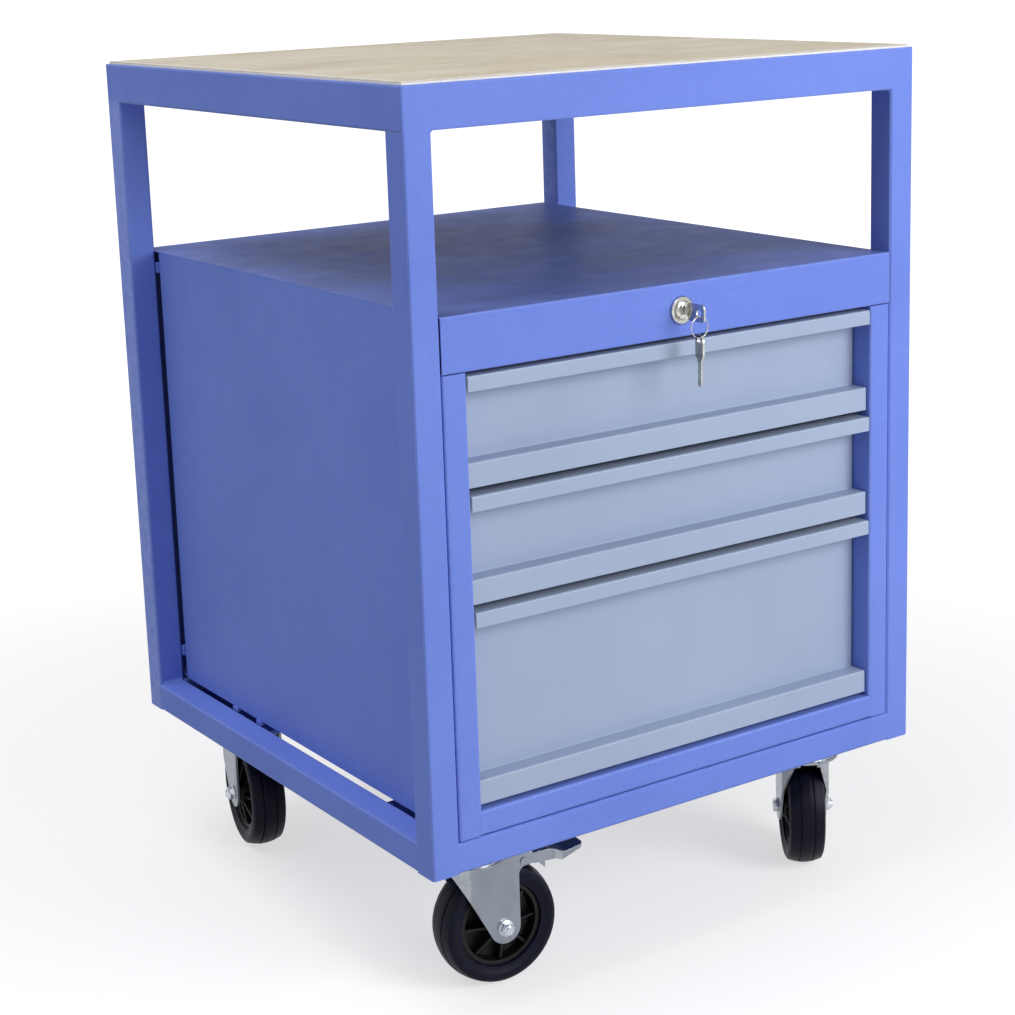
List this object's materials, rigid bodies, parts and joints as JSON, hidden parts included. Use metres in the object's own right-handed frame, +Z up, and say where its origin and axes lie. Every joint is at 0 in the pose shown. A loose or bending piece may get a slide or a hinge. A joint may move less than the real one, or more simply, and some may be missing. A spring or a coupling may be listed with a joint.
{
  "type": "workshop bench",
  "caption": "Mobile workshop bench: blue welded steel frame on swivel castors, plywood top, open shelf bay and a lockable cabinet with grey drawers.",
  "frame": {"origin": "on the floor, in the middle of the footprint that the key in its lock is part of", "axes": "+Z up, the drawers open towards -Y, +X to the right seen from the front"},
  "size_m": [0.6025, 0.645, 0.886],
  "materials": {
    "blue_paint": "fine textured powder coat",
    "grey_paint": "fine textured powder coat",
    "plywood": "sanded and oiled multiplex",
    "zinc": "bright zinc plate",
    "nickel": "nickel plate",
    "rubber": "matt elastic rubber",
    "plastic": "black polyamide"
  },
  "bodies": {
    "bench": {"post_front_left": "blue_paint", "post_front_right": "blue_paint", "post_back_left": "blue_paint", "post_back_right": "blue_paint", "bottom_rail_front": "blue_paint", "bottom_rail_back": "blue_paint", "bottom_rail_left": "blue_paint", "bottom_rail_right": "blue_paint", "top_angle_front": "blue_paint", "top_angle_back": "blue_paint", "top_angle_left": "blue_paint", "top_angle_right": "blue_paint", "weld_beads": "blue_paint", "corner_plates": "blue_paint", "worktop": "plywood", "worktop_screws": "zinc", "cabinet_shelf": "blue_paint", "cabinet_side_left": "blue_paint", "cabinet_side_right": "blue_paint", "cabinet_back": "blue_paint", "cabinet_floor": "blue_paint", "slide_outer_members": "zinc", "castor_plates": "zinc", "castor_bolts": "zinc", "lock_barrel": "nickel"},
    "lock": {"lock_plug": "nickel", "lock_key": "nickel"},
    "ring": {"key_ring": "nickel"},
    "bar": {"locking_bar": "zinc"},
    "drawer_1": {"drawer_front_1": "grey_paint", "drawer_tray_1": "grey_paint", "slide_inner_1": "zinc"},
    "slide_1": {"slide_middle_1": "zinc"},
    "drawer_2": {"drawer_front_2": "grey_paint", "drawer_tray_2": "grey_paint", "slide_inner_2": "zinc"},
    "slide_2": {"slide_middle_2": "zinc"},
    "drawer_3": {"drawer_front_3": "grey_paint", "drawer_tray_3": "grey_paint", "slide_inner_3": "zinc"},
    "slide_3": {"slide_middle_3": "zinc"},
    "castor_front_left": {"fork_front_left": "zinc", "axle_front_left": "zinc"},
    "wheel_front_left": {"tyre_front_left": "rubber", "rim_front_left": "plastic"},
    "pedal_front_left": {"brake_pedal_front_left": "zinc"},
    "castor_front_right": {"fork_front_right": "zinc", "axle_front_right": "zinc"},
    "wheel_front_right": {"tyre_front_right": "rubber", "rim_front_right": "plastic"},
    "pedal_front_right": {"brake_pedal_front_right": "zinc"},
    "castor_back_left": {"fork_back_left": "zinc", "axle_back_left": "zinc"},
    "wheel_back_left": {"tyre_back_left": "rubber", "rim_back_left": "plastic"},
    "castor_back_right": {"fork_back_right": "zinc", "axle_back_right": "zinc"},
    "wheel_back_right": {"tyre_back_right": "rubber", "rim_back_right": "plastic"}
  },
  "joints": [
    {"name": "lock_turn", "type": "hinge", "parent": "bench", "child": "lock", "pos_m": [0, -0.2875, 0.65375], "axis": [0, 1, 0], "range_deg": [0, 90]},
    {"name": "bar_lift", "type": "slide", "parent": "bench", "child": "bar", "axis": [0, 0, 1], "range_m": [0, 0.008]},
    {"name": "ring_swing", "type": "hinge", "parent": "lock", "child": "ring", "pos_m": [-0.0012, -0.3145, 0.65035], "axis": [0, 1, 0], "range_deg": [-70, 0]},
    {"name": "drawer_1_travel", "type": "slide", "parent": "bench", "child": "drawer_1", "axis": [0, -1, 0], "range_m": [0, 0.5]},
    {"name": "slide_1_travel", "type": "slide", "parent": "bench", "child": "slide_1", "axis": [0, -1, 0], "range_m": [0, 0.25]},
    {"name": "drawer_2_travel", "type": "slide", "parent": "bench", "child": "drawer_2", "axis": [0, -1, 0], "range_m": [0, 0.5]},
    {"name": "slide_2_travel", "type": "slide", "parent": "bench", "child": "slide_2", "axis": [0, -1, 0], "range_m": [0, 0.25]},
    {"name": "drawer_3_travel", "type": "slide", "parent": "bench", "child": "drawer_3", "axis": [0, -1, 0], "range_m": [0, 0.5]},
    {"name": "slide_3_travel", "type": "slide", "parent": "bench", "child": "slide_3", "axis": [0, -1, 0], "range_m": [0, 0.25]},
    {"name": "swivel_front_left", "type": "hinge", "parent": "bench", "child": "castor_front_left", "pos_m": [-0.2175, -0.216, 0.1525], "axis": [0, 0, 1], "continuous": true},
    {"name": "roll_front_left", "type": "hinge", "parent": "castor_front_left", "child": "wheel_front_left", "pos_m": [-0.19115, -0.21877, 0.0625], "axis": [0.1045, 0.9945, 0], "continuous": true},
    {"name": "brake_front_left", "type": "hinge", "parent": "castor_front_left", "child": "pedal_front_left", "pos_m": [-0.16927, -0.22107, 0.127], "axis": [0.1045, 0.9945, 0], "range_deg": [0, 11]},
    {"name": "swivel_front_right", "type": "hinge", "parent": "bench", "child": "castor_front_right", "pos_m": [0.2175, -0.216, 0.1525], "axis": [0, 0, 1], "continuous": true},
    {"name": "roll_front_right", "type": "hinge", "parent": "castor_front_right", "child": "wheel_front_right", "pos_m": [0.23232, -0.19403, 0.0625], "axis": [-0.829, 0.5592, 0], "continuous": true},
    {"name": "brake_front_right", "type": "hinge", "parent": "castor_front_right", "child": "pedal_front_right", "pos_m": [0.24462, -0.17579, 0.127], "axis": [-0.829, 0.5592, 0], "range_deg": [0, 11]},
    {"name": "swivel_back_left", "type": "hinge", "parent": "bench", "child": "castor_back_left", "pos_m": [-0.2175, 0.251, 0.1525], "axis": [0, 0, 1], "continuous": true},
    {"name": "roll_back_left", "type": "hinge", "parent": "castor_back_left", "child": "wheel_back_left", "pos_m": [-0.22256, 0.22499, 0.0625], "axis": [0.9816, -0.1908, 0], "continuous": true},
    {"name": "swivel_back_right", "type": "hinge", "parent": "bench", "child": "castor_back_right", "pos_m": [0.2175, 0.251, 0.1525], "axis": [0, 0, 1], "continuous": true},
    {"name": "roll_back_right", "type": "hinge", "parent": "castor_back_right", "child": "wheel_back_right", "pos_m": [0.1926, 0.24194, 0.0625], "axis": [0.342, -0.9397, 0], "continuous": true}
  ],
  "couplings": [
    {"joint": "lock_turn", "follows": "bar_lift", "rad_per_m": 196.3},
    {"joint": "ring_swing", "follows": "bar_lift", "rad_per_m": -149.2},
    {"joint": "slide_1_travel", "follows": "drawer_1_travel", "ratio": 0.5},
    {"joint": "slide_2_travel", "follows": "drawer_2_travel", "ratio": 0.5},
    {"joint": "slide_3_travel", "follows": "drawer_3_travel", "ratio": 0.5}
  ]
}
